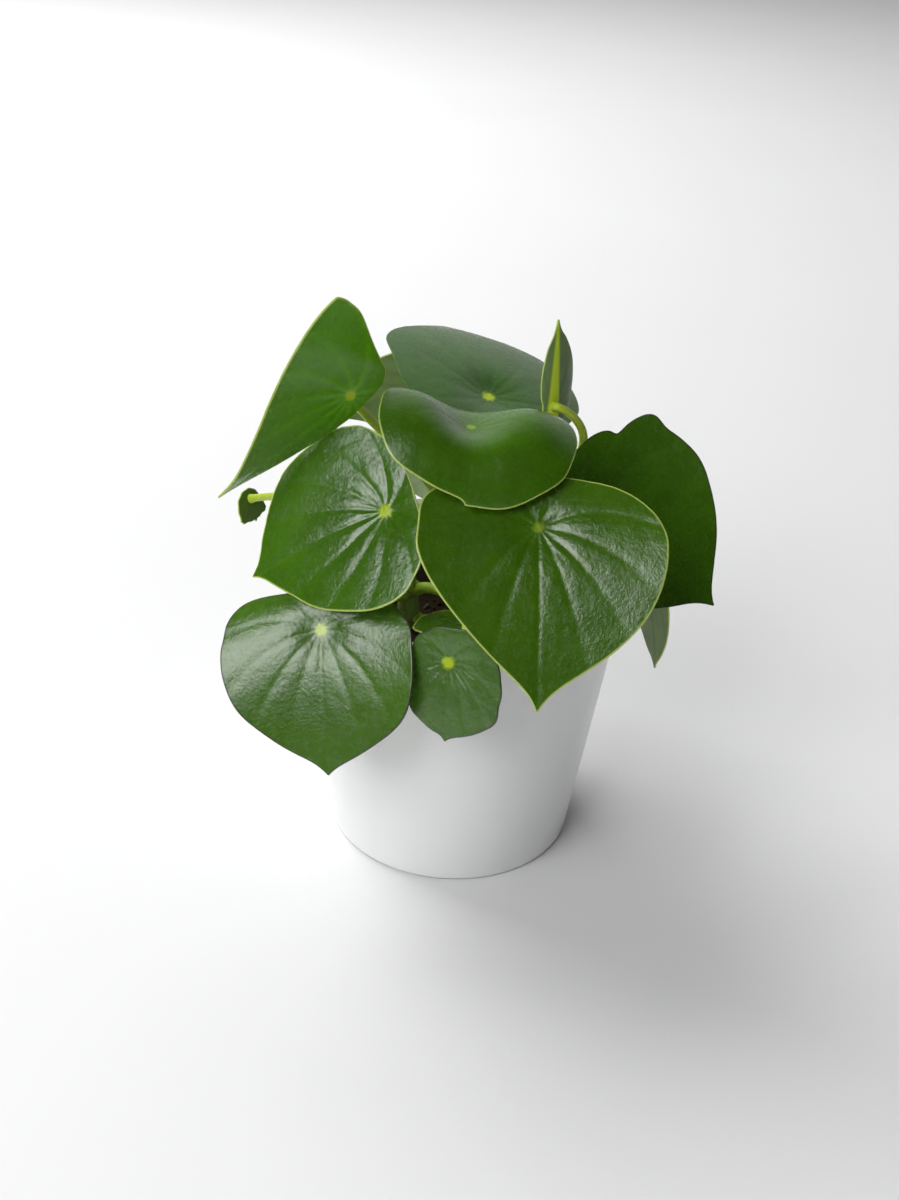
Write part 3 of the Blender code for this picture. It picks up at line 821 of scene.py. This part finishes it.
def make_blade(name, leaf, look, seed):
    """The blade: a fine upper side with sunken veins, a rounded margin and a smooth underside."""
    turn = np.linspace(0, 2 * math.pi, SPOKES, endpoint=False)
    rim_sideways, rim_forward = margin(turn, leaf)
    rim = np.maximum(np.hypot(rim_sideways, rim_forward), 4)
    ripple = sum(math.sin(seed * k) * np.sin(k * turn + seed * k) for k in (5, 8, 13))
    size = 1 - 0.5 * EDGE_THICKNESS / MM / rim + RIPPLE * ripple / np.maximum(rim, 8)
    even = np.linspace(0, 1, RINGS + 1)[1:, None] ** RING_CROWDING * np.ones(SPOKES)
    rim_start = np.maximum(1 - RIM_WIDTH / rim, (even[-2] + 1) / 2)
    reach = np.concatenate([even[:-1], rim_start[None], even[-1:]])
    sideways, forward = rim_sideways * size * reach, rim_forward * size * reach
    flat = np.hypot(sideways, forward)
    smooth = blade_place(leaf, sideways, forward)
    outward = np.gradient(smooth, axis=0)
    round_way = (np.roll(smooth, -1, axis=1) - np.roll(smooth, 1, axis=1)) / 2
    normal = np.cross(round_way, outward)
    normal /= np.maximum(np.linalg.norm(normal, axis=-1), 1e-12)[..., None]
    up = blade_axes(leaf.pose)[2]
    normal = normal * np.sign(normal[0] @ up).mean().round()
    normal = normal if (normal[0] @ up).mean() > 0 else -normal
    fade = (1 - np.exp(-((flat / 3.5) ** 2))) * (1 - 0.55 * reach)
    groove = vein_share(leaf, sideways, forward, VEIN_WIDTH)
    valley = vein_share(leaf, sideways, forward, 3.2 * VEIN_WIDTH)
    relief = -look.groove * (groove + 0.8 * valley) * fade
    puckered = 2.2 * (1 - np.exp(-((flat / 5) ** 2)))
    relief = relief + look.pucker * wrinkles(sideways, forward, 10 * seed) * puckered
    thick = BLADE_THICKNESS + (EDGE_THICKNESS - BLADE_THICKNESS) * reach**2
    upper = smooth + normal * relief[..., None] * MM
    lower = smooth - normal * (thick[..., None] - 0.5 * relief[..., None] * MM)
    across = np.cross(normal[-1], round_way[-1])
    across /= np.linalg.norm(across, axis=-1)[:, None]
    across = across * np.sign((across * outward[-1]).sum(-1))[:, None]
    middle = (upper[-1] + lower[-1]) / 2
    half = np.linalg.norm(upper[-1] - lower[-1], axis=-1)[:, None] / 2
    angles = np.linspace(math.pi / 2, -math.pi / 2, BEAD_STEPS + 2)[1:-1]
    beads = [middle + half * (normal[-1] * math.sin(a) + across * math.cos(a)) for a in angles]
    rings = np.concatenate([upper, beads, lower[::-1]])
    ends = (np.array(leaf.spot) * MM, np.array(leaf.spot) * MM - up * BLADE_THICKNESS)

    def laid(top, edge, bottom, first, last):
        """One value a point, from values for the upper side, the margin and the underside."""
        edge_values = np.broadcast_to(edge, (BEAD_STEPS, SPOKES))
        rows = np.concatenate([top, edge_values, bottom[::-1]])
        return np.array([first, *rows.ravel(), last])

    zero, one = np.zeros_like(flat), np.ones_like(flat)
    places = np.stack([sideways, forward, np.full_like(flat, 40 * seed)], axis=-1)
    edge_places = np.broadcast_to(places[-1], (BEAD_STEPS, SPOKES, 3))
    all_places = np.concatenate([places, edge_places, places[::-1]]).reshape(-1, 3)
    centre = np.array([[0, 0, 40 * seed]])
    vein = groove * (1 - 0.5 * reach)
    values = {
        "from_spot": laid(flat, flat[-1], flat + 99, 0, 99),
        "vein": laid(vein, 0 * flat[-1], vein, 1, 1),
        "underside": laid(zero, 0.5 + 0 * flat[-1], one, 0, 1),
        "bead": laid(zero + (reach > 0.999), one[-1], zero, 0, 0),
        "flat": np.concatenate([centre, all_places, centre]),
    }
    mesh = skin(f"plant_leaf_{name}", rings, *ends, values)
    add_piece(f"plant_leaf_{name}", mesh, blade_material(name, look), "leaf", f"leaf_{name}")


# Stage


def make_floor():
    """A large pale surface that the pot stands on."""
    bpy.ops.mesh.primitive_circle_add(vertices=128, radius=6, fill_type="NGON", location=(0, 0, -0.0001))
    floor = bpy.context.object
    floor.name = "floor"
    material, tree, shader = new_shader("floor_paper", 0.7, 0.2)
    place = add_node(tree, "ShaderNodeTexCoord", {}).outputs["Object"]
    white = mixed(tree, grain(tree, place, 3, 2), (0.80, 0.80, 0.81), (0.84, 0.84, 0.845))
    tree.links.new(white, shader.inputs["Base Color"])
    floor.data.materials.append(material)


def add_area(name, place, target, size, power, reflected=True):
    """A square soft light that looks at a place. One that isn't reflected only fills shadows."""
    data = bpy.data.lights.new(name, "AREA")
    data.size = size
    data.energy = power
    lamp = bpy.data.objects.new(name, data)
    lamp.location = place
    lamp.rotation_mode = "QUATERNION"
    lamp.rotation_quaternion = (Vector(target) - Vector(place)).to_track_quat("-Z", "Y")
    lamp.visible_glossy = reflected
    bpy.context.scene.collection.objects.link(lamp)


def make_lights():
    """A window to the front left, soft light from behind that no leaf mirrors, and a dim pale room."""
    add_area("window", (-0.63, -0.90, 0.96), (0, 0, 0.10), 0.80, 12)
    add_area("rear_left", (-1.2, 1.2, 1.5), (-0.3, 0.6, 0), 1.6, 50, reflected=False)
    add_area("rear_ceiling", (0.2, 2.0, 1.9), (0, 1.6, 0), 2.4, 15, reflected=False)
    world = bpy.data.worlds.new("room")
    bpy.context.scene.world = world
    world.use_nodes = True
    tree = world.node_tree
    way = add_node(tree, "ShaderNodeTexCoord", {}).outputs["Generated"]
    back = add_node(tree, "ShaderNodeSeparateXYZ", {"Vector": way}).outputs["Y"]
    fill = tree.nodes["Background"]
    fill.inputs["Color"].default_value = (1, 1, 1, 1)
    fill.inputs["Strength"].default_value = 0.066
    walls = add_node(tree, "ShaderNodeBackground", {"Color": (1, 1, 1, 1)})
    tree.links.new(ramped(tree, back, -0.1, 0.8, 0.01, 0.5), walls.inputs["Strength"])
    mirrored = add_node(tree, "ShaderNodeLightPath", {}).outputs["Is Glossy Ray"]
    both = add_node(tree, "ShaderNodeMixShader", {0: mirrored, 1: fill.outputs[0], 2: walls.outputs[0]})
    tree.links.new(both.outputs[0], tree.nodes["World Output"].inputs["Surface"])
    bpy.context.scene.view_settings.view_transform = "Standard"


def make_camera():
    """The photograph's camera: it looks at the pot's foot, then turns by its tilt, pan and roll."""
    eye = Vector((0, -math.cos(EYE_ELEVATION), math.sin(EYE_ELEVATION))) * EYE_DISTANCE
    right = Vector((1, 0, 0))
    to_foot = -eye.normalized()
    tilt, pan = math.atan2(TILT_PX, FOCAL_PX), math.atan2(PAN_PX, FOCAL_PX)
    forward = to_foot * math.cos(tilt) + right.cross(to_foot) * math.sin(tilt)
    level_up = right.cross(forward)
    forward = forward * math.cos(pan) - right * math.sin(pan)
    right = forward.cross(level_up)
    right = right * math.cos(ROLL) + level_up * math.sin(ROLL)
    up = right.cross(forward)
    data = bpy.data.cameras.new("camera")
    data.sensor_width = SENSOR
    data.lens = FOCAL_PX / PHOTO_HEIGHT * SENSOR
    data.clip_start = 0.01
    camera = bpy.data.objects.new("camera", data)
    camera.matrix_world = Matrix.Translation(eye) @ Matrix((right, up, -forward)).transposed().to_4x4()
    bpy.context.scene.collection.objects.link(camera)
    bpy.context.scene.camera = camera


def main():
    make_camera()
    make_lights()
    make_floor()
    make_pot()
    earth = soil_material("potting_mix", (0.012, 0.008, 0.005), (0.055, 0.036, 0.022))
    make_soil(earth)
    make_grains(earth)
    bark, flesh = stem_material(), stalk_material()
    for name in STEMS:
        make_stem(name, bark)
    for number, (name, leaf) in enumerate(LEAVES.items(), start=1):
        make_stalk(name, leaf, flesh)
        make_blade(name, leaf, LOOKS.get(name, Look()), number)


main()
